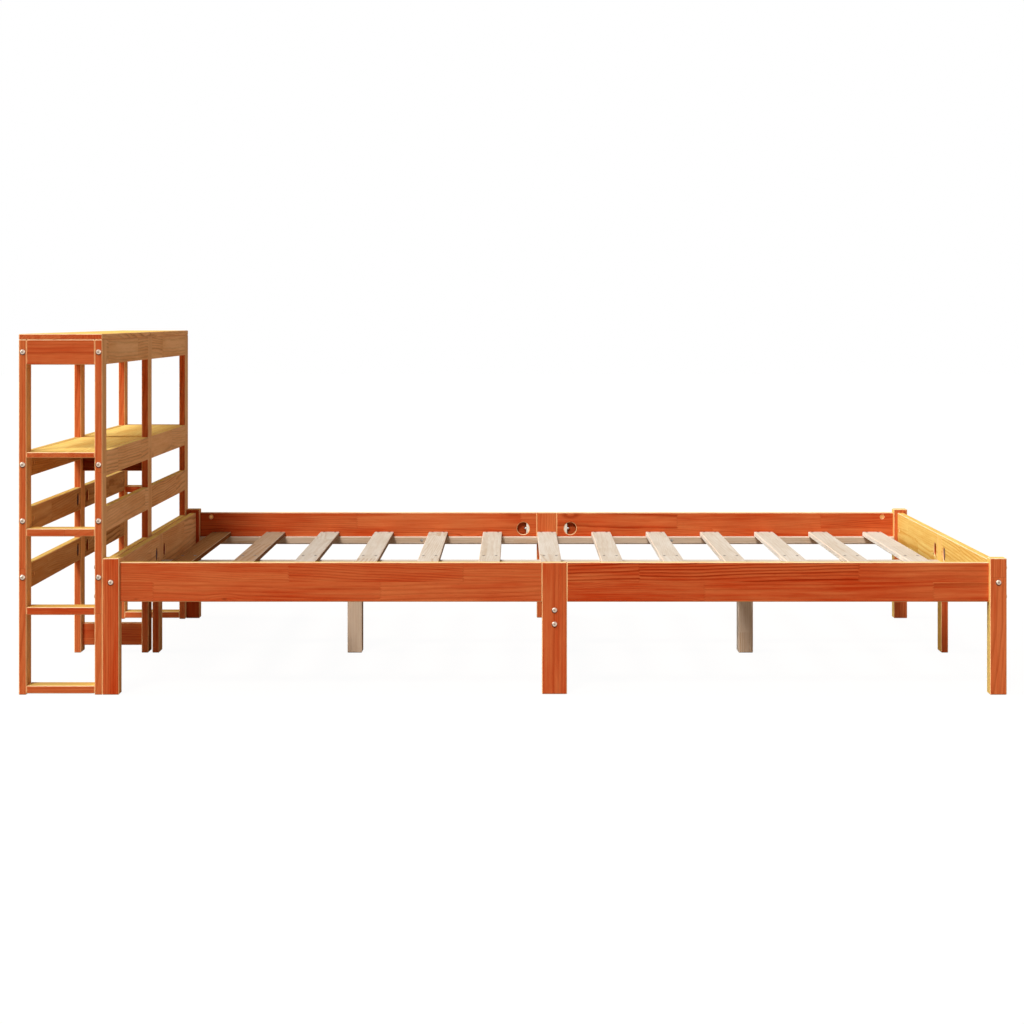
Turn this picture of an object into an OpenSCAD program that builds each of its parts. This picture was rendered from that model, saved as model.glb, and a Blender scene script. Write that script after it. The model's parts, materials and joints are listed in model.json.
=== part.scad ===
// Bed frame with a bookcase headboard, built from planed softwood boards that bolt together.
// X runs along the bed, from the headboard at -X to the foot at +X. Y runs across it and Z up.
// Left is -Y and right is +Y, as seen from the foot. The origin is on the floor, under the
// middle of the whole.

/* [Mattress] */
// Length of the mattress recess, between the head and foot boards
mattress_l = 2000; // [1700:10:2200]
// Width of the mattress recess, between the side rails
mattress_w = 1400; // [900:10:1800]

/* [Boards] */
// Thickness of the planed boards that make rails, posts, middle legs and rungs
board_t = 17.5; // [16:0.5:20]
// Width of the narrow boards: posts, middle legs, rungs and headboard boards
board_w = 57; // [52:1:64]
// Height of the side rails and of the head and foot boards
rail_h = 90; // [76:1:100]
// Thickness of the headboard's top and shelf
shelf_t = 13; // [12:1:18]
// Chamfer along the edges of every board
edge = 1.5; // [0.5:0.1:2.5]

/* [Bed frame] */
// Height of the rails' upper edge above the floor
rail_top = 300; // [290:1:330]
// Side of the square corner legs
leg_w = 38; // [36:1:46]
// Height of the corner legs above the rails
leg_rise = 10; // [2:1:30]
// Distance from the outer faces of the corner legs back to the outer faces of the rails
setback = 10; // [6:0.5:14]

/* [Slats] */
// Number of slats
slat_count = 13; // [9:2:17]
// Width of a slat
slat_w = 54; // [48:1:66]
// Thickness of a slat
slat_t = 13; // [11:0.5:18]
// Distance from the head or foot board to the nearest slat
slat_margin = 45; // [35:1:70]
// Gap between a slat's end and the rail
slat_gap = 1; // [0.5:0.5:3]
// Width of the ledgers that carry the slats' ends
ledger_w = 20; // [18:1:30]
// Height of the ledgers
ledger_h = 20; // [18:1:26]
// Height of the ledgers' underside above the rails' lower edge
ledger_lift = 2.5; // [0:0.5:8]

/* [Middle support] */
// Thickness of the centre beams under the slats
beam_t = 29; // [25:1:36]
// Width of the centre beams, centre legs and crossbeams
support_w = 57; // [52:1:64]
// Thickness of the centre legs and crossbeams
support_t = 37; // [34:1:45]

/* [Headboard] */
// Height of the headboard
headboard_h = 820; // [790:1:1000]
// Depth of the headboard, from the wall to the bed
headboard_d = 190; // [160:1:300]
// Distance between the centre lines of neighbouring board levels
level_pitch = 128; // [124:1:134]
// Gap under the lowest rung
rung_foot = 3; // [2:1:20]
// Height of the lowest board of the middle frame above the floor
mid_board_foot = 17; // [5:1:60]

/* [Bolts] */
// Diameter of the bolts
bolt_d = 6; // [5:1:7]
// Diameter of a bolt's head
bolt_head_d = 13; // [11:0.5:15]
// Height of a bolt's head
bolt_head_h = 3.5; // [2.5:0.1:4.5]
// Width of the hexagonal socket, across its flats
socket_w = 4; // [3:0.5:5]
// Distance from a board's end to the barrel nut inside it
nut_inset = 32; // [28:1:36]
// Length of thread that passes the middle of the barrel nut
bolt_tip = 8; // [6:1:10]
// Diameter of a barrel nut
barrel_d = 10; // [9:0.5:11]
// Length of a barrel nut
barrel_l = 13; // [11:0.5:13]
// Distance from a rail's upper or lower edge to its end bolts
rail_bolt_inset = 12; // [10:1:16]

/* [Rods and half-moon nuts] */
// Diameter of the threaded rods that join two boards through a post or middle leg
rod_d = 8; // [7:0.5:8]
// Length of a rod's pointed tip
rod_tip = 4; // [2:0.5:6]
// Length of rod that stands out of the flat of its half-moon nut
rod_out = 7; // [5:1:8]
// Diameter of the round pocket that takes a half-moon nut
pocket_d = 35; // [32:1:38]
// Depth of the pocket
pocket_depth = 13.5; // [13.5:0.1:14.5]
// Distance from a board's end to the centre of its pocket
pocket_inset = 38.5; // [34:0.5:45]
// Thickness of a half-moon nut
moon_t = 11; // [10:0.5:12]

/* [Screws and dowels] */
// Spacing of paired bolts, screws and dowels
pair = 32; // [28:1:34]
// Diameter of the screws
screw_d = 4; // [3.5:0.5:5]
// Diameter of a screw's countersunk head
screw_head_d = 8; // [7:0.5:9]
// Length of the screws in slats, ledgers and shelf bearer
screw_l = 30; // [28:1:32]
// Length of the screws that hold the centre legs
leg_screw_l = 60; // [50:1:70]
// Diameter of the dowels in rungs, shelves and top
dowel_d = 6; // [5:0.5:7]
// Length of a dowel
dowel_l = 30; // [24:1:34]
// Depth of a dowel in the thinner of the two boards that it joins
dowel_seat = 10; // [8:0.5:11]
// Clearance around everything that sits in a hole
play = 0.25; // [0.1:0.05:0.3]

/* [Hidden] */
$fn = 48;
HEAD = -1;
FOOT = 1;
LEFT = -1;
RIGHT = 1;
ENDS = [HEAD, FOOT];
SIDES = [LEFT, RIGHT];
STAINED = "#b9572b";
PALE = "#ddc7a8";
STEEL = "#c9ccd0";
ZINC = "#dcd8cf";
DOWEL = "#d9b184";

// Levels of headboard boards, counted down from the top in steps of level_pitch
TOP_LEVEL = 0;
SHELF_LEVEL = 2;
MIDDLE_LEVEL = 3;
LOW_LEVEL = 4;
LEVELS = [TOP_LEVEL, SHELF_LEVEL, MIDDLE_LEVEL, LOW_LEVEL];
RUNGS = [0, 1, 2];

// How far a hole runs past what it holds or the face that it opens in
over = 1;
// Depth of a screw's cross and of a bolt's socket
recess = 2;
// Thickness of a screw head's rim
screw_rim = 0.4;

// Sizes of the whole bed
bed_l = mattress_l + 2 * (board_t + setback);
bed_w = mattress_w + 2 * (board_t + setback);
leg_h = rail_top + leg_rise;
rail_bottom = rail_top - rail_h;
rail_mid = (rail_top + rail_bottom) / 2;
rail_span = bed_l / 2 - leg_w;

// Places along X. The foot's bolt heads stand out of the last leg face
x_back = -(headboard_d + bed_l + bolt_head_h) / 2;
x_front = x_back + headboard_d;
x_mid = x_front + bed_l / 2;
post_back_x = x_back + board_t / 2;
post_front_x = x_front - board_t / 2;
bay_x = [x_back + board_t, x_front - board_t];

// Heights of the slats and what carries them
ledger_z = rail_bottom + ledger_lift;
slat_z = ledger_z + ledger_h;
slat_top = slat_z + slat_t;
beam_z = slat_z - beam_t;
crossbeam_mid = beam_z - support_w / 2;
half_slats = (slat_count - 1) / 2;
slat_pitch = (mattress_l / 2 - slat_margin - slat_w / 2) / half_slats;
ledger_y = mattress_w / 2 - ledger_w / 2;

// Places of the ledger screws, in slat pitches from the middle. One stands between two slats
LEDGER_SCREWS = [1, 2.3, half_slats - 2, half_slats];

// Heights in the headboard
post_h = headboard_h - shelf_t;
shelf_z = level_z(SHELF_LEVEL) + board_w / 2 - shelf_t;
rung_pitch = (shelf_z - rung_foot) / len(RUNGS);
bearer_z = shelf_z - board_t;
mid_board_z = bearer_z - board_w;

// Middles of the pockets and lengths of the rods, from the middle of the post or leg
pocket_z = board_w / 2 + pocket_inset;
moon_flat_z = pocket_z - pocket_d / 4;
rod_half = moon_flat_z + rod_out;

function side_name(s) = s == LEFT ? "_left" : s == RIGHT ? "_right" : "_middle";
function end_name(e) = e == HEAD ? "head" : "foot";
function level_name(n) = n == TOP_LEVEL ? "top" : n == SHELF_LEVEL ? "shelf" : n == MIDDLE_LEVEL ? "middle" : "low";
function level_z(n) = post_h - board_w / 2 - n * level_pitch;
function rung_z(n) = rung_foot + n * rung_pitch;
function slat_x(n) = x_mid + (n - half_slats) * slat_pitch;
// Middle of the posts of the left, middle or right frame
function post_y(f) = f * (bed_w / 2 - board_w / 2);
// Middle of the apron, which is flush with the outside of the left and right frames
function apron_y(f) = f * (bed_w / 2 - board_t / 2);
// Outer face of the corner legs, and middle of the head or foot board
function end_x(e) = x_mid + e * bed_l / 2;
function end_board_x(e) = x_mid + e * (mattress_l / 2 + board_t / 2);
function rail_y(s) = s * (mattress_w / 2 + board_t / 2);
// Outline of a board's section with its corners taken off
function eased(a, b) = [
    [edge, 0], [a - edge, 0], [a, edge], [a, b - edge],
    [a - edge, b], [edge, b], [0, b - edge], [0, edge]
];

// A board between two opposite corners, with all its edges chamfered
module planed(p, q) {
    size = [for (i = [0:2]) abs(q[i] - p[i])];
    translate([for (i = [0:2]) min(p[i], q[i])]) intersection() {
        linear_extrude(size.z) polygon(eased(size.x, size.y));
        translate([0, size.y, 0]) rotate([90, 0, 0]) linear_extrude(size.y) polygon(eased(size.x, size.z));
        rotate([90, 0, 90]) linear_extrude(size.x) polygon(eased(size.y, size.z));
    }
}

// Fasteners. Each lies along Z and enters the wood at z = 0. A module named at_ puts its
// children at every place of one kind, with X turned to the face that their pocket opens in.
// It sets $grip, the wood that a bolt passes before its board's end, and $half, half the
// thickness of the board that holds the nut.

function bolt_l(grip) = grip + nut_inset + bolt_tip;

// Button-head bolt with a hexagonal socket
module bolt() {
    r = bolt_d / 2;
    rim = bolt_head_h / 3;
    crown = bolt_head_d / 3;
    difference() {
        rotate_extrude() polygon([
            [0, -bolt_head_h], [crown, -bolt_head_h], [bolt_head_d / 2, -rim], [bolt_head_d / 2, 0],
            [r, 0], [r, bolt_l($grip) - 1], [r - 1, bolt_l($grip)], [0, bolt_l($grip)]
        ]);
        translate([0, 0, -bolt_head_h - over])
            cylinder(d = socket_w / cos(30), h = recess + over, $fn = 6);
    }
}

// Cross-drilled barrel nut with a screwdriver slot in the end that shows
module barrel_nut() {
    slot = 1.4;
    translate([0, 0, $grip + nut_inset]) difference() {
        rotate([0, 90, 0]) cylinder(d = barrel_d, h = barrel_l, center = true);
        cylinder(d = bolt_d + 2 * play, h = barrel_d + 2 * over, center = true);
        translate([barrel_l / 2 + over - slot, -slot / 2, -barrel_d])
            cube([slot, slot, 2 * barrel_d]);
    }
}

module bolt_hole() {
    bore = barrel_d + 2 * play;
    translate([0, 0, -over]) cylinder(d = bolt_d + 2 * play, h = bolt_l($grip) + 2 * over);
    translate([-barrel_l / 2 - play, 0, $grip + nut_inset]) rotate([0, 90, 0])
        cylinder(d = bore, h = barrel_l / 2 + play + $half + over);
    translate([$half - edge, 0, $grip + nut_inset]) rotate([0, 90, 0])
        cylinder(d1 = bore, d2 = bore + 2 * (edge + over), h = edge + over);
}

// Bolts through the outer posts into the ends of the headboard boards. Their nuts show inside
module at_post_bolts() {
    $grip = board_w;
    $half = board_t / 2;
    for (s = SIDES, e = ENDS, n = LEVELS)
        translate([e == HEAD ? post_back_x : post_front_x, s * bed_w / 2, level_z(n)])
            rotate([s * 90, 0, 0]) rotate([0, 0, e == HEAD ? 0 : 180]) children();
}

// Bolts through the corner legs into the side rails. At the head they also pass the front posts
module at_rail_bolts() {
    $half = board_t / 2;
    for (e = ENDS, s = SIDES, z = [rail_bottom + rail_bolt_inset, rail_top - rail_bolt_inset]) {
        $grip = leg_w + (e == HEAD ? board_t : 0);
        translate([e == HEAD ? x_front - board_t : end_x(FOOT), rail_y(s), z])
            rotate([0, -90 * e, 0]) rotate([0, 0, -90 * s]) children();
    }
}

// Bolts through the corner legs into the head and foot boards
module at_end_bolts() {
    $grip = leg_w;
    $half = board_t / 2;
    for (e = ENDS, s = SIDES)
        translate([end_board_x(e), s * bed_w / 2, rail_mid])
            rotate([s * 90, 0, 0]) rotate([0, 0, e == HEAD ? 0 : 180]) children();
}

// Bolts through the side middle legs into the crossbeams
module at_crossbeam_bolts() {
    $grip = board_t;
    $half = support_t / 2;
    for (s = SIDES, d = [-1, 1])
        translate([x_mid, s * (mattress_w / 2 + board_t), crossbeam_mid + d * pair / 2])
            rotate([s * 90, 0, 0]) children();
}

// Bolts through the head and foot middle legs into the centre beams
module at_beam_bolts() {
    $grip = board_t;
    $half = beam_t / 2;
    for (e = ENDS, d = [-1, 1])
        translate([x_mid + e * (mattress_l / 2 + board_t), d * pair / 2, beam_z + beam_t / 2])
            rotate([0, -90 * e, 0]) rotate([0, 0, e == HEAD ? 0 : 180]) children();
}

module at_every_bolt() {
    at_post_bolts() children();
    at_rail_bolts() children();
    at_end_bolts() children();
    at_crossbeam_bolts() children();
    at_beam_bolts() children();
}

// Studs through the middle centre leg, with a barrel nut in the end of each crossbeam
module at_studs() {
    $grip = support_w / 2;
    $half = support_t / 2;
    for (d = [-1, 1])
        translate([x_mid, 0, crossbeam_mid + d * pair / 2]) rotate([90, 0, 0]) children();
}

module stud() {
    cylinder(d = bolt_d, h = 2 * bolt_l($grip), center = true);
}

// A stud is the same at both ends, so what lies along its one half is turned over for the other
module both_ways() {
    children();
    rotate([180, 0, 0]) children();
}

// Threaded rod with a pointed tip at each end
module rod() {
    tip_r = rod_d / 8;
    rotate_extrude() polygon([
        [0, -rod_half], [tip_r, -rod_half], [rod_d / 2, rod_tip - rod_half],
        [rod_d / 2, rod_half - rod_tip], [tip_r, rod_half], [0, rod_half]
    ]);
}

// Half-moon nuts at both ends of a rod. Each fills the side of its pocket that faces the post
module half_moons() {
    for (d = [-1, 1]) difference() {
        translate([board_t / 2 - pocket_depth, 0, d * pocket_z]) rotate([0, 90, 0])
            cylinder(d = pocket_d - 2 * play, h = moon_t);
        translate([-pocket_d, -pocket_d, d * (moon_flat_z + pocket_d) - pocket_d])
            cube([2 * pocket_d, 2 * pocket_d, 2 * pocket_d]);
        cylinder(d = rod_d + 2 * play, h = 3 * pocket_z, center = true);
    }
}

module rod_hole() {
    cylinder(d = rod_d + 2 * play, h = 2 * pocket_z, center = true);
    for (d = [-1, 1]) translate([board_t / 2, 0, d * pocket_z]) rotate([0, 90, 0]) {
        translate([0, 0, -pocket_depth]) cylinder(d = pocket_d, h = pocket_depth + over);
        translate([0, 0, -edge])
            cylinder(d1 = pocket_d, d2 = pocket_d + 2 * (edge + over), h = edge + over);
    }
}

// Rods through the middle posts of the headboard. Their pockets open to its inside
module at_headboard_rods() {
    for (e = ENDS, n = LEVELS)
        translate([e == HEAD ? post_back_x : post_front_x, 0, level_z(n)])
            rotate([90, 0, 0]) rotate([0, 0, e == HEAD ? 0 : 180]) children();
}

// Rods through the head and foot middle legs
module at_end_rods() {
    for (e = ENDS)
        translate([end_board_x(e), 0, rail_mid])
            rotate([90, 0, 0]) rotate([0, 0, e == HEAD ? 0 : 180]) children();
}

// Rods through the side middle legs
module at_side_rods() {
    for (s = SIDES)
        translate([x_mid, rail_y(s), rail_mid]) rotate([0, 90, 0]) rotate([0, 0, -90 * s]) children();
}

module at_every_rod() {
    at_headboard_rods() children();
    at_end_rods() children();
    at_side_rods() children();
}

// Revolved outline of a countersunk screw, made larger all round by extra
module screw_body(l, extra) {
    r = screw_d / 2 + extra;
    head_r = screw_head_d / 2 + extra;
    rim = screw_rim + extra;
    rotate_extrude() polygon([
        [0, -extra], [head_r, -extra], [head_r, rim], [r, rim + head_r - r],
        [r, l - screw_d], [0, l + extra]
    ]);
}

module screw() {
    arm = screw_head_d / 2;
    groove = 1;
    difference() {
        screw_body($screw_l, 0);
        for (a = [0, 90]) rotate(a) translate([-arm / 2, -groove / 2, -over])
            cube([arm, groove, recess + over]);
    }
}

module screw_hole() {
    screw_body($screw_l, play);
}

// Screws down through the slats into ledgers and centre beams
module at_slat_screws() {
    $screw_l = screw_l;
    for (n = [0:slat_count - 1], y = [-ledger_y, 0, ledger_y], d = [-1, 1])
        translate([slat_x(n) + d * pair / 2, y, slat_top]) rotate([180, 0, 0]) children();
}

// Screws through the ledgers into the rails
module at_ledger_screws() {
    $screw_l = screw_l;
    for (e = ENDS, s = SIDES, n = LEDGER_SCREWS)
        translate([x_mid + e * n * slat_pitch, s * (mattress_w / 2 - ledger_w), ledger_z + ledger_h / 2])
            rotate([-s * 90, 0, 0]) children();
}

// Screws down through the centre beams into the centre legs
module at_leg_screws() {
    $screw_l = leg_screw_l;
    for (x = [x_mid - mattress_l / 4, x_mid - support_t / 4, x_mid + support_t / 4, x_mid + mattress_l / 4],
            d = [-1, 1])
        translate([x, d * pair / 2, slat_z]) rotate([180, 0, 0]) children();
}

// Screws down through the shelf bearer into the board under it
module at_bearer_screws() {
    $screw_l = screw_l;
    for (d = [-1, 1])
        translate([(x_back + x_front) / 2 + d * pair, 0, shelf_z]) rotate([180, 0, 0]) children();
}

module at_every_screw() {
    at_slat_screws() children();
    at_ledger_screws() children();
    at_leg_screws() children();
    at_bearer_screws() children();
}

module dowel() {
    translate([0, 0, -dowel_seat]) cylinder(d = dowel_d, h = dowel_l);
}

module dowel_hole() {
    translate([0, 0, -dowel_seat - over / 2]) cylinder(d = dowel_d + 2 * play, h = dowel_l + over);
}

// Ends of aprons, rungs and middle boards: the member's middle in Y and Z, then half of how
// far apart its two dowels are in Y and in Z
LADDER_JOINTS = [
    for (f = [LEFT, 0, RIGHT]) [apron_y(f), level_z(TOP_LEVEL), 0, pair / 2],
    for (s = SIDES, n = RUNGS) [post_y(s), rung_z(n) + board_t / 2, pair / 2, 0],
    for (z = [mid_board_z, mid_board_foot]) [0, z + board_w / 2, 0, pair / 2]
];

module at_ladder_dowels() {
    for (j = LADDER_JOINTS, e = ENDS, d = [-1, 1])
        translate([e == HEAD ? bay_x[0] : bay_x[1], j[0] + d * j[2], j[1] + d * j[3]])
            rotate([0, -90 * e, 0]) children();
}

// Dowels along the shelves' long edges, in the outer posts and in the boards beside the shelf
module at_shelf_dowels() {
    for (s = SIDES, y = [post_y(RIGHT), bed_w / 4, pocket_z + pocket_d], e = ENDS)
        translate([e == HEAD ? bay_x[0] : bay_x[1], s * y, shelf_z + shelf_t / 2])
            rotate([0, -90 * e, 0]) children();
}

// Dowels that stand in the posts and top boards and hold the top
module at_top_dowels() {
    for (s = SIDES, y = [post_y(RIGHT) - pair / 2, bed_w / 4, pair / 2], x = [post_back_x, post_front_x])
        translate([x, s * y, post_h]) rotate([180, 0, 0]) children();
}

module at_every_dowel() {
    at_ladder_dowels() children();
    at_shelf_dowels() children();
    at_top_dowels() children();
}

// Bed frame

module corner_leg(e, s) {
    color(STAINED) difference() {
        planed([end_x(e), s * bed_w / 2, 0], [end_x(e) - e * leg_w, s * (bed_w / 2 - leg_w), leg_h]);
        at_rail_bolts() bolt_hole();
        at_end_bolts() bolt_hole();
    }
}

module middle_leg_side(s) {
    color(STAINED) difference() {
        planed(
            [x_mid - board_w / 2, s * mattress_w / 2, 0],
            [x_mid + board_w / 2, s * (mattress_w / 2 + board_t), rail_top]
        );
        at_side_rods() rod_hole();
        at_crossbeam_bolts() bolt_hole();
    }
}

module middle_leg_end(e) {
    color(STAINED) difference() {
        planed(
            [x_mid + e * mattress_l / 2, -board_w / 2, 0],
            [x_mid + e * (mattress_l / 2 + board_t), board_w / 2, rail_top]
        );
        at_end_rods() rod_hole();
        at_beam_bolts() bolt_hole();
    }
}

// Half of a side rail, between a corner leg and the side's middle leg
module rail(e, s) {
    color(STAINED) difference() {
        planed(
            [x_mid + e * board_w / 2, s * mattress_w / 2, rail_bottom],
            [x_mid + e * rail_span, s * (mattress_w / 2 + board_t), rail_top]
        );
        at_rail_bolts() bolt_hole();
        at_side_rods() rod_hole();
        at_ledger_screws() screw_hole();
    }
}

// Half of the head or foot board, between its middle leg and a corner leg
module end_board(e, s) {
    color(STAINED) difference() {
        planed(
            [x_mid + e * mattress_l / 2, s * board_w / 2, rail_bottom],
            [x_mid + e * (mattress_l / 2 + board_t), s * (bed_w / 2 - leg_w), rail_top]
        );
        at_end_bolts() bolt_hole();
        at_end_rods() rod_hole();
    }
}

// Batten along the inside of a rail. The two of one side meet behind the middle slat
module ledger(e, s) {
    color(PALE) difference() {
        planed(
            [x_mid, s * (mattress_w / 2 - ledger_w), ledger_z],
            [x_mid + e * rail_span, s * mattress_w / 2, slat_z]
        );
        at_slat_screws() screw_hole();
        at_ledger_screws() screw_hole();
    }
}

module slats() {
    slat_end = mattress_w / 2 - slat_gap;
    color(PALE) difference() {
        for (n = [0:slat_count - 1])
            planed([slat_x(n) - slat_w / 2, -slat_end, slat_z], [slat_x(n) + slat_w / 2, slat_end, slat_top]);
        at_slat_screws() screw_hole();
    }
}

// Half of the beam under the middle of the slats
module centre_beam(e) {
    color(PALE) difference() {
        planed([x_mid, -support_w / 2, beam_z], [x_mid + e * mattress_l / 2, support_w / 2, slat_z]);
        at_beam_bolts() bolt_hole();
        at_slat_screws() screw_hole();
        at_leg_screws() screw_hole();
    }
}

// Leg under the centre beam, at a distance dx from the middle of the bed
module centre_leg(dx) {
    color(PALE) difference() {
        planed(
            [x_mid + dx - support_t / 2, -support_w / 2, 0],
            [x_mid + dx + support_t / 2, support_w / 2, beam_z]
        );
        at_leg_screws() screw_hole();
        at_studs() both_ways() bolt_hole();
    }
}

// Half of the beam across the bed, between a side's middle leg and the middle centre leg
module crossbeam(s) {
    color(PALE) difference() {
        planed(
            [x_mid - support_t / 2, s * support_w / 2, beam_z - support_w],
            [x_mid + support_t / 2, s * mattress_w / 2, beam_z]
        );
        at_crossbeam_bolts() bolt_hole();
        at_studs() both_ways() bolt_hole();
    }
}

// Headboard

// Post of the left, middle or right frame, centred at x
module post(x, f) {
    color(STAINED) difference() {
        planed([x - board_t / 2, post_y(f) - board_w / 2, 0], [x + board_t / 2, post_y(f) + board_w / 2, post_h]);
        at_post_bolts() bolt_hole();
        at_headboard_rods() rod_hole();
        at_rail_bolts() bolt_hole();
        at_every_dowel() dowel_hole();
    }
}

// The two boards of one level, left and right of the middle post, centred at x
module level_boards(x, n) {
    color(STAINED) difference() {
        for (s = SIDES)
            planed(
                [x - board_t / 2, s * board_w / 2, level_z(n) - board_w / 2],
                [x + board_t / 2, s * (bed_w / 2 - board_w), level_z(n) + board_w / 2]
            );
        at_post_bolts() bolt_hole();
        at_headboard_rods() rod_hole();
        at_shelf_dowels() dowel_hole();
        at_top_dowels() dowel_hole();
    }
}

// A member that crosses the headboard's depth between two posts, from one y and z to another
module across(y, z) {
    planed([bay_x[0], y[0], z[0]], [bay_x[1], y[1], z[1]]);
}

module apron(f) {
    color(STAINED) difference() {
        across(
            [apron_y(f) - board_t / 2, apron_y(f) + board_t / 2],
            [post_h - board_w, post_h]
        );
        at_ladder_dowels() dowel_hole();
    }
}

module rungs(s) {
    color(STAINED) difference() {
        for (n = RUNGS)
            across([post_y(s) - board_w / 2, post_y(s) + board_w / 2], [rung_z(n), rung_z(n) + board_t]);
        at_ladder_dowels() dowel_hole();
    }
}

// Flat board under the joint of the two shelves
module shelf_bearer() {
    color(STAINED) difference() {
        across([-board_w / 2, board_w / 2], [bearer_z, shelf_z]);
        at_bearer_screws() screw_hole();
    }
}

// Board on edge in the middle frame, with its lower edge at z
module middle_board(z) {
    color(STAINED) difference() {
        across([-board_t / 2, board_t / 2], [z, z + board_w]);
        at_ladder_dowels() dowel_hole();
        at_bearer_screws() screw_hole();
    }
}

module shelf(s) {
    color(STAINED) difference() {
        across([0, s * bed_w / 2], [shelf_z, shelf_z + shelf_t]);
        at_shelf_dowels() dowel_hole();
    }
}

module top(s) {
    color(STAINED) difference() {
        planed([x_back, 0, post_h], [x_front, s * bed_w / 2, headboard_h]);
        at_top_dowels() dowel_hole();
    }
}

// Fasteners, one node for each kind

module bolts() {
    color(STEEL) at_every_bolt() bolt();
}

module barrel_nuts() {
    color(STEEL) {
        at_every_bolt() barrel_nut();
        at_studs() both_ways() barrel_nut();
    }
}

module threaded_rods() {
    color(STEEL) {
        at_every_rod() rod();
        at_studs() stud();
    }
}

module half_moon_nuts() {
    color(ZINC) at_every_rod() half_moons();
}

module screws() {
    color(STEEL) at_every_screw() screw();
}

module dowels() {
    color(DOWEL) at_every_dowel() dowel();
}

for (e = ENDS, s = SIDES) {
    corner_leg(e, s);
    rail(e, s);
    end_board(e, s);
    ledger(e, s);
}
for (e = ENDS) {
    middle_leg_end(e);
    centre_beam(e);
    centre_leg(e * mattress_l / 4);
}
centre_leg(0);  // centre_leg_middle
for (s = SIDES) {
    middle_leg_side(s);
    crossbeam(s);
    rungs(s);
    shelf(s);
    top(s);
}
for (f = [LEFT, 0, RIGHT]) {
    post(post_back_x, f);
    post(post_front_x, f);
    apron(f);
}
for (n = LEVELS) {
    level_boards(post_back_x, n);
    level_boards(post_front_x, n);
}
slats();
shelf_bearer();
middle_board(mid_board_z);  // bearer_board
middle_board(mid_board_foot);  // foot_board_middle
bolts();
barrel_nuts();
threaded_rods();
half_moon_nuts();
screws();
dowels();
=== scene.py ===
"""Looks of a bed frame with a bookcase headboard: stained pine, bare pine, steel fittings.

The shapes are those of the CAD model, unchanged. Each solid gets attributes that tell its material how
its grain runs and which of its faces are chamfers or holes. Lengths are in metres."""

import json
import math

import bpy
import numpy as np
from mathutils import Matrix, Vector


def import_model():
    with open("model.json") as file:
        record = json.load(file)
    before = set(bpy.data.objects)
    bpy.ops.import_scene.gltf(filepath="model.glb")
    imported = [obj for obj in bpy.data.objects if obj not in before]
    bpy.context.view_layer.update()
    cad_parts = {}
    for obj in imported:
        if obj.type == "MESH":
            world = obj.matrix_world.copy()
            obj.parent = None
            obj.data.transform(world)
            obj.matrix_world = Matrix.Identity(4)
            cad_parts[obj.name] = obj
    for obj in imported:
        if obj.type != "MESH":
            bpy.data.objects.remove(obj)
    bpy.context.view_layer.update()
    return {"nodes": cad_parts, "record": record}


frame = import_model()
slot_of = {s["node"]: s["material_slot"] for s in frame["record"]["subparts"]}


# ---- what each solid tells its material: its own coordinates, its size, a number, its worn edges

# A solid's number sets its grain and its tone. It is a random one from 0 to 1 unless it is given here:
# near 1 for a light board, below 0 for one with painted shade. A node's solids are counted from the
# head end.
# Some numbers near 1 are painted light on parts that lie in shade; each painted one is marked.
PICKED = {
    # Painted shade: the first two slats lie in the headboard's shadow
    "slats": {0: -0.95, 1: -0.48},
    "back_post_middle": {0: 1.0},
    "back_post_right": {0: 1.0},
    # Painted light: these posts lie in shade, and a light tone makes up for it
    "front_post_middle": {0: 1.0},
    "front_post_right": {0: 1.0},
    # Painted shade: the bearer board lies in shade under the shelf
    "bearer_board": {0: -1.0},
    # Painted shade: the back boards lie in shade under the shelf and the top
    "back_boards_shelf": {0: -0.35, 1: -0.45},
    "back_boards_middle": {0: -0.39, 1: -0.57},
    "back_boards_low": {0: -0.36, 1: -0.48},
    "front_boards_shelf": {0: 0.83, 1: 0.79},
    # Painted light: a light tone makes up for the shade this leg lies in
    "corner_leg_foot_right": {0: 1.0},
    # Painted light: light tones make up for the shade under the bed
    "centre_leg_head": {0: 1.0},
    "centre_leg_foot": {0: 1.1},
    "rail_head_left": {0: 0.596},
    "rail_foot_left": {0: 0.34},
    "middle_leg_left": {0: 0.398},
    "middle_leg_right": {0: 0.95},
    "corner_leg_head_left": {0: 0.398},
    "apron_left": {0: 0.398},
    # Painted light: light tones make up for the shade that the top casts on the shelves
    "shelf_left": {0: 1.0},
    "shelf_right": {0: 1.0},
    "rail_head_right": {0: 0.657},
    "rail_foot_right": {0: 0.583},
}

# Boards that meet end to end at the plane Y = 0, and how far from it their end chamfers reach
JOINTED_AT_MIDDLE = ("shelf_left", "shelf_right", "top_left", "top_right")
SEAM_REACH = 0.003

CHAMFER_REACH = 0.0019  # how deep the chamfers of boards go
HOLE_DEPTH = 2e-4  # faces further than this from all sides of a solid's box are in a hole
CELLS_PER_METRE = 2e4  # vertices in one cell of this grid are one point

# Size of a normal's largest and smallest part on a chamfer along an edge, and of its part along the
# thinnest way on a chamfer round a hole
EDGE_LARGEST, EDGE_SMALLEST = 0.9, 0.25
RIM_LOW, RIM_HIGH = 0.55, 0.85

HOLE, GAP = 1.0, 2.0  # values of the attribute for painted shade: in holes, and darker in the gap where boards meet


def read(items, field, width, kind=np.float32):
    """One field of all of a mesh's items, with a row for each item where width is over 1."""
    values = np.zeros(len(items) * width, kind)
    items.foreach_get(field, values)
    return values.reshape(-1, width) if width > 1 else values


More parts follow.
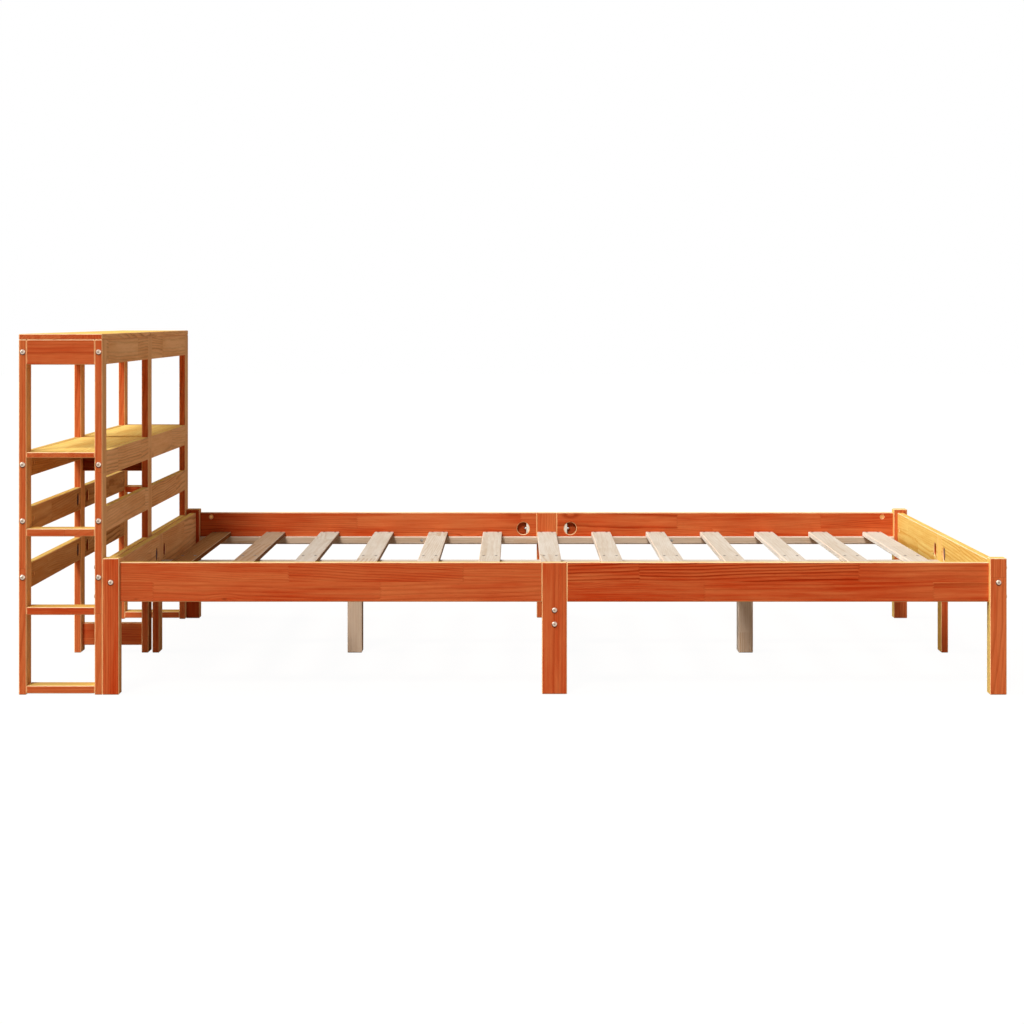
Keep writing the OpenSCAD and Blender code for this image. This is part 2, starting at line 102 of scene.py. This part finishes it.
def find_solids(mesh, co, starts):
    """Labels each vertex and each face with its solid, which is all that its points connect to."""
    loops = read(mesh.loops, "vertex_index", 1, np.int32)
    totals = read(mesh.polygons, "loop_total", 1, np.int32)
    _, welded = np.unique(np.round(co * CELLS_PER_METRE).astype(np.int64), axis=0, return_inverse=True)
    welded = welded.ravel()
    corners = welded[loops]
    owner = np.repeat(np.arange(len(starts)), totals)
    label = np.arange(welded.max() + 1)
    while True:
        low = np.minimum.reduceat(label[corners], starts)
        new = label.copy()
        np.minimum.at(new, corners, low[owner])
        new = new[new]
        if np.array_equal(new, label):
            return label[welded], label[corners[starts]]
        label = new


def random_number(middle):
    """A number from 0 to 1 that depends only on where a solid's middle is."""
    return abs(math.sin(float(middle @ (91.7, 47.3, 133.1)) + 1.7)) % 1


def label_solids(obj, chamfer, picked, seam):
    """Gives each solid of a node its own coordinates, with X along the grain, Y across it and Z through
    the thinnest way, all from the solid's middle, half its size that way, and a number. Marks the
    chamfers that go chamfer deep for wear and a painted highlight, the walls and floors of holes for
    painted shade, and the chamfers within seam of the plane Y = 0 for a darker painted shade, as a gap."""
    mesh = obj.data
    co = read(mesh.vertices, "co", 3).astype(float)
    starts = read(mesh.polygons, "loop_start", 1, np.int32)
    normals = np.abs(read(mesh.polygons, "normal", 3))
    centres = read(mesh.polygons, "center", 3).astype(float)
    solid, face_solid = find_solids(mesh, co, starts)

    own = np.zeros((len(co), 3))
    half = np.zeros((len(co), 3))
    number = np.zeros(len(co))
    wear_and_highlight = np.zeros(len(starts))
    recess_shade = np.zeros(len(starts))
    from_head = sorted(np.unique(solid), key=lambda s: round(float(co[solid == s][:, 0].min()), 4))
    for rank, s in enumerate(from_head):
        mine = solid == s
        lo, hi = co[mine].min(0), co[mine].max(0)
        order = np.argsort(-(hi - lo), kind="stable")
        own[mine] = (co[mine] - (lo + hi) / 2)[:, order]
        half[mine] = ((hi - lo) / 2)[order]
        number[mine] = picked.get(rank, random_number((lo + hi) / 2))

        faces = face_solid == s
        depth = np.minimum(centres[faces] - lo, hi - centres[faces])
        near = depth < chamfer
        parts = np.sort(normals[faces], axis=1)
        slanted = (parts[:, 2] < EDGE_LARGEST) & (parts[:, 0] < EDGE_SMALLEST)
        edge = slanted & (near.sum(1) >= 2)
        thin = normals[faces][:, order[2]]
        rim = (thin > RIM_LOW) & (thin < RIM_HIGH) & near[:, order[2]]
        closed = (edge | rim) & (np.abs(centres[faces][:, 1]) < seam)
        wear_and_highlight[faces] = (edge | rim) & (chamfer > 0) & ~closed
        in_hole = (depth.min(1) > HOLE_DEPTH) & ~rim
        recess_shade[faces] = np.where(closed, GAP, in_hole * HOLE)

    for name, domain, kind, values in (
        ("own", "POINT", "FLOAT_VECTOR", own),
        ("half", "POINT", "FLOAT_VECTOR", half),
        ("number", "POINT", "FLOAT", number),
        ("wear_and_highlight", "FACE", "FLOAT", wear_and_highlight),
        ("recess_shade", "FACE", "FLOAT", recess_shade),
    ):
        made = mesh.attributes.new(name, kind, domain)
        field = "vector" if kind == "FLOAT_VECTOR" else "value"
        made.data.foreach_set(field, values.ravel().astype(np.float32))


# ---- short words for shader nodes


def srgb(r, g, b):
    """Linear colour of an 8-bit sRGB one."""
    return tuple(
        c / 12.92 if c <= 0.04045 else ((c + 0.055) / 1.055) ** 2.4
        for c in (r / 255, g / 255, b / 255)
    ) + (1.0,)


class Nodes:
    """Builds a node tree from plain calls. A value is a number, a colour or another node's output."""

    def __init__(self, tree):
        self.tree = tree

    def put(self, socket, value):
        if isinstance(value, bpy.types.NodeSocket):
            self.tree.links.new(value, socket)
        else:
            socket.default_value = value

    def make(self, kind, inputs=(), **settings):
        node = self.tree.nodes.new(kind)
        for name, value in settings.items():
            setattr(node, name, value)
        for socket, value in dict(inputs).items():
            self.put(node.inputs[socket], value)
        return node

    def calc(self, operation, a, b=0.0, clamp=False):
        made = self.make("ShaderNodeMath", {0: a, 1: b}, operation=operation, use_clamp=clamp)
        return made.outputs[0]

    def add(self, a, b):
        return self.calc("ADD", a, b)

    def less(self, a, b):
        return self.calc("SUBTRACT", a, b)

    def times(self, a, b):
        return self.calc("MULTIPLY", a, b)

    def over(self, a, b):
        return self.calc("DIVIDE", a, b)

    def most(self, a, b):
        return self.calc("MAXIMUM", a, b)

    def size(self, a):
        return self.calc("ABSOLUTE", a)

    def centred(self, a, weight):
        """What a value from 0 to 1 adds to another when its middle adds nothing."""
        return self.times(self.less(a, 0.5), weight)

    def length(self, x, y, z):
        made = self.make("ShaderNodeVectorMath", {0: self.join(x, y, z)}, operation="LENGTH")
        return made.outputs["Value"]

    def scaled(self, v, along, across, shift=(0.0, 0.0, 0.0)):
        """A board's own coordinates times along for X and times across for Y and Z, plus shift."""
        inputs = {0: v, 1: (along, across, across), 2: shift}
        return self.make("ShaderNodeVectorMath", inputs, operation="MULTIPLY_ADD").outputs[0]

    def split(self, v):
        return self.make("ShaderNodeSeparateXYZ", {0: v}).outputs

    def join(self, x, y, z):
        return self.make("ShaderNodeCombineXYZ", {0: x, 1: y, 2: z}).outputs[0]

    def noise(self, v, detail=2.0, rough=0.5):
        inputs = {"Vector": v, "Scale": 1.0, "Detail": detail, "Roughness": rough}
        return self.make("ShaderNodeTexNoise", inputs).outputs["Fac"]

    def step(self, value, start, end, low=0.0, high=1.0):
        """Smooth step of value, from low at start to high at end."""
        made = self.make("ShaderNodeMapRange", interpolation_type="SMOOTHSTEP")
        for name, v in (
            ("Value", value),
            ("From Min", start),
            ("From Max", end),
            ("To Min", low),
            ("To Max", high),
        ):
            self.put(made.inputs[name], v)
        return made.outputs["Result"]

    def fade(self, value, start, end):
        """Smooth step of value, from 1 at start to 0 at end."""
        return self.step(value, start, end, 1.0, 0.0)

    def mix(self, factor, a, b, blend="MIX"):
        made = self.make("ShaderNodeMix", data_type="RGBA", blend_type=blend, clamp_factor=True)
        for index, v in ((0, factor), (6, a), (7, b)):
            self.put(made.inputs[index], v)
        return made.outputs[2]

    def dye(self, factor, base, colour):
        """Multiplies a colour by another, as far as factor says."""
        return self.mix(factor, base, self.mix(1.0, base, colour, "MULTIPLY"))

    def given(self, name, output="Fac"):
        """A mesh attribute that label_solids made."""
        made = self.make("ShaderNodeAttribute", attribute_name=name, attribute_type="GEOMETRY")
        return made.outputs[output]

    def facing(self):
        """X, Y and Z of the direction that a face looks in."""
        return self.split(self.make("ShaderNodeNewGeometry").outputs["True Normal"])


# ---- the grain of a board

STAVE = 0.045  # a board is glued up of staves about this wide
FINGER_PITCH = 0.0030  # of the fingers that join a stave's blocks end to end
FINGER_DEPTH = 1.6  # times the pitch
GLUE_LINE = (0.0002, 0.0009)
KNOT = (0.030, 0.075)  # start and end of a knot's rim, in cells of the knots' pattern
KNOT_BEND = (0.03, 0.36)  # where the rings bend round it, in the same unit
KNOT_CHANCE = (0.70, 0.72)  # cells with a random value over this have a knot
RING_PITCH, RING_SPREAD = 0.0042, 0.0080  # width of a year's ring, and how much it can be wider


def grain_group():
    """Node group: from a board's own coordinates to rings, fibre, knots, blotches and block tone."""
    tree = bpy.data.node_groups.new("grain", "ShaderNodeTree")
    for name, kind in (("Own", "Vector"), ("Half", "Vector"), ("Number", "Float"), ("Block", "Float")):
        tree.interface.new_socket(name, in_out="INPUT", socket_type="NodeSocket" + kind)
    for name in ("Late", "Tone", "Fibre", "Knot", "Blotch", "Streak", "Joint", "Dash"):
        tree.interface.new_socket(name, in_out="OUTPUT", socket_type="NodeSocketFloat")
    n = Nodes(tree)
    given = tree.nodes.new("NodeGroupInput").outputs
    out = tree.nodes.new("NodeGroupOutput")
    u, v, w = n.split(given["Own"])
    own = given["Own"]
    seed = n.times(given["Number"], 61.7)

    # Staves side by side, each of blocks that fingers join end to end
    wide = n.times(n.split(given["Half"])[1], 2.0)
    count = n.most(n.calc("ROUND", n.over(wide, STAVE)), 1.0)
    stave = n.calc("FLOOR", n.times(n.add(n.over(v, wide), 0.5), count))
    zigzag = n.times(n.calc("PINGPONG", n.add(v, 1.0), FINGER_PITCH), FINGER_DEPTH)
    along = n.over(n.add(u, zigzag), given["Block"])
    place = n.add(along, n.add(seed, n.times(stave, 7.37)))
    blocks = {"W": place, "Scale": 1.0, "Randomness": 0.75}
    cell = n.make("ShaderNodeTexVoronoi", blocks, voronoi_dimensions="1D")
    border = n.make("ShaderNodeTexVoronoi", blocks, voronoi_dimensions="1D", feature="DISTANCE_TO_EDGE")
    r1, r2, r3 = n.split(cell.outputs["Color"])
    joint = n.fade(n.times(border.outputs["Distance"], given["Block"]), *GLUE_LINE)

    # Growth rings about a pith beside the block, with the grain leaning along it
    shift = n.join(n.times(r1, 9.0), n.times(r2, 7.0), n.add(seed, r3))
    wave = n.noise(n.scaled(own, 2.2, 9.0, shift))
    fine = n.less(n.noise(n.scaled(own, 8.0, 70.0, shift)), 0.5)
    side = n.add(v, n.centred(wave, 0.024))
    side = n.less(side, n.centred(r1, 0.20))
    side = n.less(side, n.times(u, n.centred(r3, 0.10)))
    deep = n.add(w, n.add(0.010, n.times(r2, 0.09)))
    radius = n.calc("SQRT", n.add(n.times(side, side), n.times(deep, deep)))

    # Small knots, which the rings bend round
    spots = n.make(
        "ShaderNodeTexVoronoi",
        {"Vector": n.scaled(own, 7.0, 17.0, shift), "Scale": 1.0, "Randomness": 1.0},
        voronoi_dimensions="3D",
    )
    reach = n.add(spots.outputs["Distance"], n.times(fine, 0.05))
    picked = n.step(n.split(spots.outputs["Color"])[0], *KNOT_CHANCE)
    knot = n.times(n.fade(reach, *KNOT), picked)
    bend = n.times(n.fade(reach, *KNOT_BEND), n.times(picked, 0.007))
    pitch = n.add(RING_PITCH, n.times(n.times(r3, r1), RING_SPREAD))
    turns = n.over(n.add(n.add(radius, bend), n.times(fine, 0.0030)), pitch)
    year = n.calc("FLOOR", turns)
    ring = n.calc("FRACT", turns)
    late = n.times(n.step(ring, 0.35, 0.86), n.fade(ring, 0.88, 1.0))
    yearly = n.make("ShaderNodeTexWhiteNoise", {"W": n.add(year, seed)}, noise_dimensions="1D")
    strength = n.add(0.36, n.times(n.calc("POWER", r2, 3.0), 1.1))
    strength = n.times(strength, n.add(0.45, n.times(yearly.outputs["Value"], 0.75)))

    # Fibre, resin dashes and broad soft patches
    drift = n.join(seed, n.times(r2, 5.0), r1)
    dash = n.noise(n.scaled(own, 60.0, 1300.0, drift), 1.0)
    for name, value in (
        ("Late", n.calc("MULTIPLY", late, strength, clamp=True)),
        ("Tone", r1),
        ("Fibre", n.noise(n.scaled(own, 12.0, 420.0, drift), 3.0, 0.6)),
        ("Knot", knot),
        ("Blotch", n.noise(n.scaled(own, 3.0, 22.0, drift), 4.0, 0.6)),
        ("Streak", n.noise(n.scaled(own, 5.0, 135.0, drift), 3.0, 0.65)),
        ("Joint", joint),
        ("Dash", n.step(dash, 0.62, 0.76)),
    ):
        n.put(out.inputs[name], value)
    return tree


GRAIN = grain_group()


# ---- materials

TURNED = (0.50, 0.60)  # part of a face's direction along an axis from which the face looks that way
TURNED_BACK = (-0.60, -0.50)
SQUARE_ON = (0.80, 0.90)  # the same for a face that looks straight that way
SQUARE_ON_BACK = (-0.90, -0.80)


def new_material(name):
    made = bpy.data.materials.new(name)
    made.use_nodes = True
    made.node_tree.nodes.clear()
    n = Nodes(made.node_tree)
    shader = n.make("ShaderNodeBsdfPrincipled")
    out = n.make("ShaderNodeOutputMaterial")
    n.put(out.inputs["Surface"], shader.outputs[0])
    return made, n, shader


def grain_of(n, block):
    """The grain group's outputs, for a board of blocks about this long."""
    inputs = {"Own": n.given("own", "Vector"), "Half": n.given("half", "Vector")}
    inputs.update({"Number": n.given("number"), "Block": block})
    made = n.make("ShaderNodeGroup", node_tree=GRAIN)
    for name, value in inputs.items():
        n.put(made.inputs[name], value)
    return made.outputs


def painted_shade_depth(n):
    """How far below 0 a solid's number is, which is how much painted shade it gets."""
    return n.calc("MULTIPLY", n.given("number"), -1.0, clamp=True)


def wood_relief(n, shader, g, edge, depth):
    """Bump from rings, fibre and finger joints, and roughness that follows them."""
    height = n.add(n.times(g["Late"], 0.5), n.times(g["Fibre"], 0.9))
    height = n.less(height, n.times(g["Dash"], 0.5))
    height = n.less(height, n.times(g["Joint"], 0.8))
    bump = n.make("ShaderNodeBump", {"Height": height, "Strength": 0.35, "Distance": depth})
    n.put(shader.inputs["Normal"], bump.outputs[0])
    rough = n.add(0.46, n.times(g["Fibre"], 0.16))
    rough = n.less(rough, n.times(g["Late"], 0.09))
    rough = n.add(rough, n.times(edge, 0.12))
    n.put(shader.inputs["Roughness"], rough)


def board_tone(n, g, number):
    """From 0 for a dark spot of a dark board to 1 for a light one of a light board."""
    tone = n.add(0.5, n.centred(g["Tone"], 0.26))
    tone = n.add(tone, n.centred(number, 0.36))
    for name, weight in (("Blotch", 1.8), ("Streak", 1.5), ("Fibre", 0.5)):
        tone = n.add(tone, n.centred(g[name], weight))
    return n.calc("ADD", tone, 0.0, clamp=True)


def stained_wood():
    """Pine under an orange stain: red on faces that look across the bed, gold on tops and on faces
    toward the headboard. Faces toward the foot get a redder, browner copy of the gold as painted shade."""
    made, n, shader = new_material("stained_wood")
    g = grain_of(n, 0.46)
    x, y, z = n.facing()
    front = n.step(x, *TURNED)
    across = n.step(n.size(y), *TURNED)
    up = n.step(z, *TURNED)

    tone = board_tone(n, g, n.most(n.given("number"), 0.0))
    red = n.mix(tone, srgb(202, 69, 27), srgb(223, 119, 66))
    gold = n.mix(tone, srgb(236, 184, 94), srgb(249, 216, 128))
    # Painted shade: the tan is a redder, browner copy of the gold, for faces toward the foot
    shaded_tan = n.mix(tone, srgb(226, 154, 94), srgb(250, 188, 130))
    base = n.mix(across, n.mix(front, gold, shaded_tan), red)
    # On faces toward the foot the grain lines are greyer, as painted shade too
    late = n.mix(front, srgb(240, 214, 184), srgb(198, 182, 169))
    late = n.mix(across, late, srgb(206, 162, 132))
    base = n.dye(g["Late"], base, late)
    base = n.dye(n.times(g["Dash"], 0.3), base, srgb(170, 130, 100))
    for value, weight, colour in (
        (g["Knot"], 0.6, srgb(120, 46, 18)),
        (g["Joint"], 0.25, srgb(130, 56, 26)),
        # Painted shade in holes, darker still in the gap where boards meet
        (n.given("recess_shade"), 0.5, srgb(150, 56, 22)),
    ):
        base = n.mix(n.times(value, weight), base, colour)
    # Painted shade: boards with a number below 0 are dyed a cooler, darker colour
    base = n.dye(painted_shade_depth(n), base, srgb(165, 180, 190))

    # Chamfers are lighter, partly worn to the wood and partly a painted highlight, paler on tops; on
    # the faces toward the foot, which have painted shade, hardly at all
    scuff = n.noise(n.scaled(n.given("own", "Vector"), 22.0, 40.0), 3.0, 0.6)
    edge = n.times(n.given("wear_and_highlight"), n.step(scuff, 0.30, 0.55, 0.7, 1.0))
    edge = n.times(edge, n.step(n.less(front, across), 0.0, 1.0, 1.0, 0.15))
    base = n.mix(edge, base, n.mix(up, srgb(254, 198, 140), srgb(252, 214, 168)))
    n.put(shader.inputs["Base Color"], base)
    shader.inputs["Specular IOR Level"].default_value = 0.0
    wood_relief(n, shader, g, edge, 0.0006)
    return made


# Slat screws: distance between those at the rail and at the centre beam, and half that between a pair
SCREWS_APART = 0.690
SCREW_PAIR = 0.016
SLAT_TOP = (0.0060, 0.0062)  # height over a slat's middle at which its top starts


def screw_shade_smear(n, g):
    """Painted shade of a slat's sunk screws, as a dark smear along the fibre from each: pairs at its
    middle and near both ends.
    """
    u, v, w = n.split(n.given("own", "Vector"))
    far_u = n.size(n.less(n.size(u), SCREWS_APART / 2))
    far_u = n.size(n.less(far_u, SCREWS_APART / 2))
    far_v = n.size(n.less(n.size(v), SCREW_PAIR))
    far = n.length(n.times(far_u, 0.30), far_v, 0.0)
    smear_shade = n.fade(n.add(far, n.times(g["Fibre"], 0.0010)), 0.0030, 0.0046)
    return n.times(smear_shade, n.step(w, *SLAT_TOP))


def pale_wood(name, screwed):
    """Bare planed pine. Where screwed is set, it has the painted shade of a slat's sunk screws."""
    made, n, shader = new_material(name)
    g = grain_of(n, 0.60)
    dark = painted_shade_depth(n)
    tone = board_tone(n, g, n.given("number"))
    base = n.mix(tone, srgb(207, 189, 167), srgb(223, 211, 196))
    base = n.dye(n.times(g["Late"], 0.7), base, srgb(230, 208, 186))
    for value, weight, colour in (
        (g["Dash"], 0.3, srgb(182, 150, 118)),
        (g["Knot"], 0.7, srgb(150, 102, 66)),
        # Painted shade in holes, darker still in the gap where boards meet
        (n.given("recess_shade"), 0.8, srgb(120, 86, 60)),
    ):
        base = n.mix(n.times(value, weight), base, colour)
    # Painted shade: slats with a number below 0 are dyed browner and darker, and their tone is lower
    # too
    base = n.dye(dark, base, srgb(229, 179, 124))
    if screwed:
        # Painted shade round the slat screws
        base = n.mix(n.times(screw_shade_smear(n, g), 0.85), base, srgb(96, 70, 50))

    # Painted shade on the sides: a warmer tint, darker on sides toward the foot; sides toward the
    # headboard get painted light instead
    x, _, z = n.facing()
    up = n.step(z, *TURNED)
    side = n.mix(n.step(x, *SQUARE_ON), srgb(255, 240, 226), srgb(195, 165, 143))
    side = n.mix(n.fade(x, *SQUARE_ON_BACK), side, (1.25, 1.30, 1.35, 1.0))
    base = n.mix(up, n.mix(1.0, base, side, "MULTIPLY"), base)

    # Edges are lighter on top, partly wear and partly a painted highlight, and darker underneath as
    # painted shade; all edges are weaker on solids with painted shade
    under = n.fade(z, *TURNED_BACK)
    edge = n.times(n.given("wear_and_highlight"), n.most(n.most(up, under), 0.45))
    edge = n.times(edge, n.less(0.8, n.times(dark, 0.6)))
    base = n.mix(edge, base, n.mix(under, srgb(250, 222, 196), srgb(120, 92, 70)))
    n.put(shader.inputs["Base Color"], base)
    shader.inputs["Specular IOR Level"].default_value = 0.0
    wood_relief(n, shader, g, edge, 0.0005)
    return made


def dowel_wood():
    """Beech with short darker flecks."""
    made, n, shader = new_material("dowel_wood")
    g = grain_of(n, 4.0)
    fleck = n.step(n.noise(n.scaled(n.given("own", "Vector"), 260.0, 1900.0), 1.0), 0.58, 0.66)
    base = n.mix(g["Fibre"], srgb(206, 164, 120), srgb(226, 190, 148))
    base = n.mix(n.times(fleck, 0.5), base, srgb(166, 116, 76))
    n.put(shader.inputs["Base Color"], base)
    shader.inputs["Specular IOR Level"].default_value = 0.25
    wood_relief(n, shader, g, 0.0, 0.0003)
    return made


THREADED = (0.0042, 0.0046)  # radius from which steel has no thread: shanks are thinner, nuts are not
HEAD_DEPTH = (0.0032, 0.0040)  # how far from its end a bolt's or screw's head reaches
NUT_FACE = (0.0002, 0.0004)  # how far from the flat of a half-moon nut its painted shade reaches


def steel(name, light, dark, rough, thread=None, head=None, shade_paint=None, shade_flats=False):
    """Plated metal with fine brushing and cloudy plating. Where thread is set, it has a screw thread of
    that pitch along X, with painted shade in its grooves. Where head is set, it has the outer and the
    recess radius of its head, whose lower rim and recess get painted shade, as a contact shadow and a
    dark recess. Where a shade colour is set, it has the axis along which the faces look that get this
    painted shade, and its colour; these faces lose most of their metal. Where the flat option is set
    too, the faces across the thinnest way get the painted shade as well."""
    made, n, shader = new_material(name)
    own = n.given("own", "Vector")
    u, v, w = n.split(own)
    to_end, _, to_flat = n.split(n.given("half", "Vector"))
    cloud = n.noise(n.scaled(own, 300.0, 300.0), 3.0, 0.6)
    brush = n.noise(n.scaled(own, 260.0, 3200.0), 2.0, 0.5)
    base = n.mix(n.add(n.times(cloud, 0.7), n.times(brush, 0.3)), dark, light)
    height = n.times(n.add(brush, cloud), 0.25)
    away = n.length(0.0, v, w)
    if thread:
        turn = n.over(n.calc("ARCTAN2", v, w), 2 * math.pi)
        wave = n.calc("PINGPONG", n.add(n.over(u, thread), n.add(turn, 200.0)), 0.5)
        groove = n.times(n.fade(wave, 0.0, 0.34), n.fade(away, *THREADED))
        # Painted shade: the thread's grooves are darker
        base = n.mix(n.times(groove, 0.65), base, srgb(70, 68, 66))
        height = n.less(height, n.times(groove, 1.6))
    if head:
        outer, inner = head
        # Painted shade on the head: a dark rim, heavier on one side, as a contact shadow, and a dark
        # recess
        low = n.length(0.0, n.less(v, outer * 0.08), n.add(w, outer * -0.12))
        rim = n.step(low, outer * 0.74, outer * 0.90)
        recess = n.fade(away, inner, inner + 0.0005)
        on_head = n.fade(n.less(to_end, n.size(u)), *HEAD_DEPTH)
        head_shade = n.times(n.add(n.times(rim, 0.9), n.times(recess, 0.5)), on_head)
        base = n.mix(head_shade, base, srgb(84, 62, 50))
    metallic = 1.0
    # Painted shade on faces that look along the axis, which also lose most of their metal
    if shade_paint:
        axis, colour = shade_paint
        shade_mask = n.step(n.facing()[axis], 0.30, 0.60)
        if shade_flats:
            shade_mask = n.most(shade_mask, n.fade(n.less(to_flat, n.size(w)), *NUT_FACE))
        base = n.mix(shade_mask, base, colour)
        metallic = n.less(1.0, n.times(shade_mask, 0.9))
    n.put(shader.inputs["Metallic"], metallic)
    n.put(shader.inputs["Base Color"], base)
    n.put(shader.inputs["Roughness"], n.add(rough, n.times(cloud, 0.16)))
    bump = n.make("ShaderNodeBump", {"Height": height, "Strength": 0.3, "Distance": 0.0002})
    n.put(shader.inputs["Normal"], bump.outputs[0])
    return made


BOLT_HEAD = (0.0065, 0.0021)
SCREW_HEAD = (0.0040, 0.0020)
ROD_PITCH = 0.00125
X_AXIS, Z_AXIS = 0, 2

of_slot = {
    "stained_wood": stained_wood(),
    "pale_wood": pale_wood("pale_wood", False),
    "dowel_wood": dowel_wood(),
    "zinc_plate": steel(
        "zinc_plate",
        srgb(250, 240, 224),
        srgb(226, 214, 196),
        0.38,
        # Painted shade: half-moon nuts dark where they sit in their pockets
        shade_paint=(X_AXIS, srgb(58, 45, 36)),
        shade_flats=True,
    ),
    "bright_steel": steel(
        "bright_steel", srgb(238, 236, 234), srgb(204, 202, 202), 0.22, thread=ROD_PITCH
    ),
}
of_node = {
    "slats": pale_wood("pale_wood_screwed", True),
    "bolts": steel("bolt_steel", srgb(231, 209, 189), srgb(195, 174, 155), 0.30, head=BOLT_HEAD),
    "screws": steel(
        "screw_steel",
        srgb(226, 220, 212),
        srgb(186, 180, 172),
        0.28,
        head=SCREW_HEAD,
        # Painted shade: slat screw heads dark as if sunk in their holes
        shade_paint=(Z_AXIS, srgb(40, 31, 26)),
    ),
    "barrel_nuts": steel("yellow_zinc", srgb(244, 190, 122), srgb(222, 162, 98), 0.42),
}
for node, obj in frame["nodes"].items():
    slot = slot_of[node]
    chamfer = CHAMFER_REACH if slot in ("stained_wood", "pale_wood") else 0.0
    seam = SEAM_REACH if node in JOINTED_AT_MIDDLE else 0.0
    label_solids(obj, chamfer, PICKED.get(node, {}), seam)
    obj.data.materials.clear()
    obj.data.materials.append(of_node.get(node, of_slot[slot]))


# ---- stage: white floor, soft lamps, camera

WHITE = (1.0, 1.0, 1.0, 1.0)
FLOOR_REACH = 30.0
FLOOR_DROP = 0.0004  # keeps the floor just under the feet
FLOOR_COLOUR = (0.29, 0.24, 0.195, 1.0)  # what it gives back to the bed: little, and warm
FLOOR_GLOW = 1.20  # what the camera sees of it, with the lamps' light and shadows on it
FLOOR_GLOW_SHARE = 0.80

# Each lamp's name, the direction it is seen in, the level to which it lights a face turned to it, and
# its width in degrees
LAMPS = (
    ("key", (-0.21, -0.68, 0.70), 0.71, 14.0),
    ("left", (-0.61, -0.11, 0.79), 0.53, 30.0),
    ("low", (-0.95, 0.0, 0.31), 0.42, 24.0),
    ("right", (0.96, -0.10, 0.27), 0.14, 40.0),
    ("back", (0.15, 0.92, 0.36), 0.20, 60.0),
)
WORLD_LEVEL = 0.08

CAMERA_PLACE = (0.00565, -6.2935, 0.8584)
LENS, SENSOR = 86.13, 36.0  # in millimetres
FRAME = 1024  # pixels
SHIFT = (-4, -195)  # pixels


def floor():
    mesh = bpy.data.meshes.new("floor")
    r, z = FLOOR_REACH, -FLOOR_DROP
    mesh.from_pydata([(-r, -r, z), (r, -r, z), (r, r, z), (-r, r, z)], [], [(0, 1, 2, 3)])
    made = bpy.data.objects.new("floor", mesh)
    bpy.context.scene.collection.objects.link(made)
    material = bpy.data.materials.new("floor")
    material.use_nodes = True
    material.node_tree.nodes.clear()
    n = Nodes(material.node_tree)
    shade = n.make("ShaderNodeBsdfDiffuse", {"Color": FLOOR_COLOUR})
    white = n.make("ShaderNodeEmission", {"Color": WHITE, "Strength": FLOOR_GLOW})
    path = n.make("ShaderNodeLightPath").outputs
    seen = n.most(path["Is Camera Ray"], path["Is Glossy Ray"])
    both = n.make("ShaderNodeMixShader", {0: n.times(seen, FLOOR_GLOW_SHARE)})
    n.put(both.inputs[1], shade.outputs[0])
    n.put(both.inputs[2], white.outputs[0])
    out = n.make("ShaderNodeOutputMaterial")
    n.put(out.inputs["Surface"], both.outputs[0])
    mesh.materials.append(material)


def world(level):
    """White where it is seen or mirrored, and of that level as a light."""
    made = bpy.data.worlds.new("studio")
    bpy.context.scene.world = made
    made.use_nodes = True
    made.node_tree.nodes.clear()
    n = Nodes(made.node_tree)
    path = n.make("ShaderNodeLightPath").outputs
    mirrored = n.most(path["Is Glossy Ray"], path["Is Transmission Ray"])
    seen = n.most(path["Is Camera Ray"], mirrored)
    back = n.make("ShaderNodeBackground", {"Color": WHITE})
    n.put(back.inputs["Strength"], n.step(seen, 0.0, 1.0, level, 1.0))
    out = n.make("ShaderNodeOutputWorld")
    n.put(out.inputs["Surface"], back.outputs[0])


def sun(name, towards, level, spread):
    data = bpy.data.lights.new(name, "SUN")
    data.energy = level * math.pi
    data.angle = math.radians(spread)
    made = bpy.data.objects.new(name, data)
    made.rotation_euler = Vector(towards).to_track_quat("Z", "Y").to_euler()
    bpy.context.scene.collection.objects.link(made)


def camera():
    """One-point perspective from the side, with the lens shifted down."""
    data = bpy.data.cameras.new("camera")
    data.lens = LENS
    data.sensor_width = SENSOR
    data.shift_x, data.shift_y = (pixels / FRAME for pixels in SHIFT)
    data.clip_end = 100.0
    made = bpy.data.objects.new("camera", data)
    made.location = CAMERA_PLACE
    made.rotation_euler = (math.pi / 2, 0.0, 0.0)
    bpy.context.scene.collection.objects.link(made)
    bpy.context.scene.camera = made


floor()
world(WORLD_LEVEL)
for lamp in LAMPS:
    sun(*lamp)
camera()
bpy.context.scene.view_settings.view_transform = "Standard"
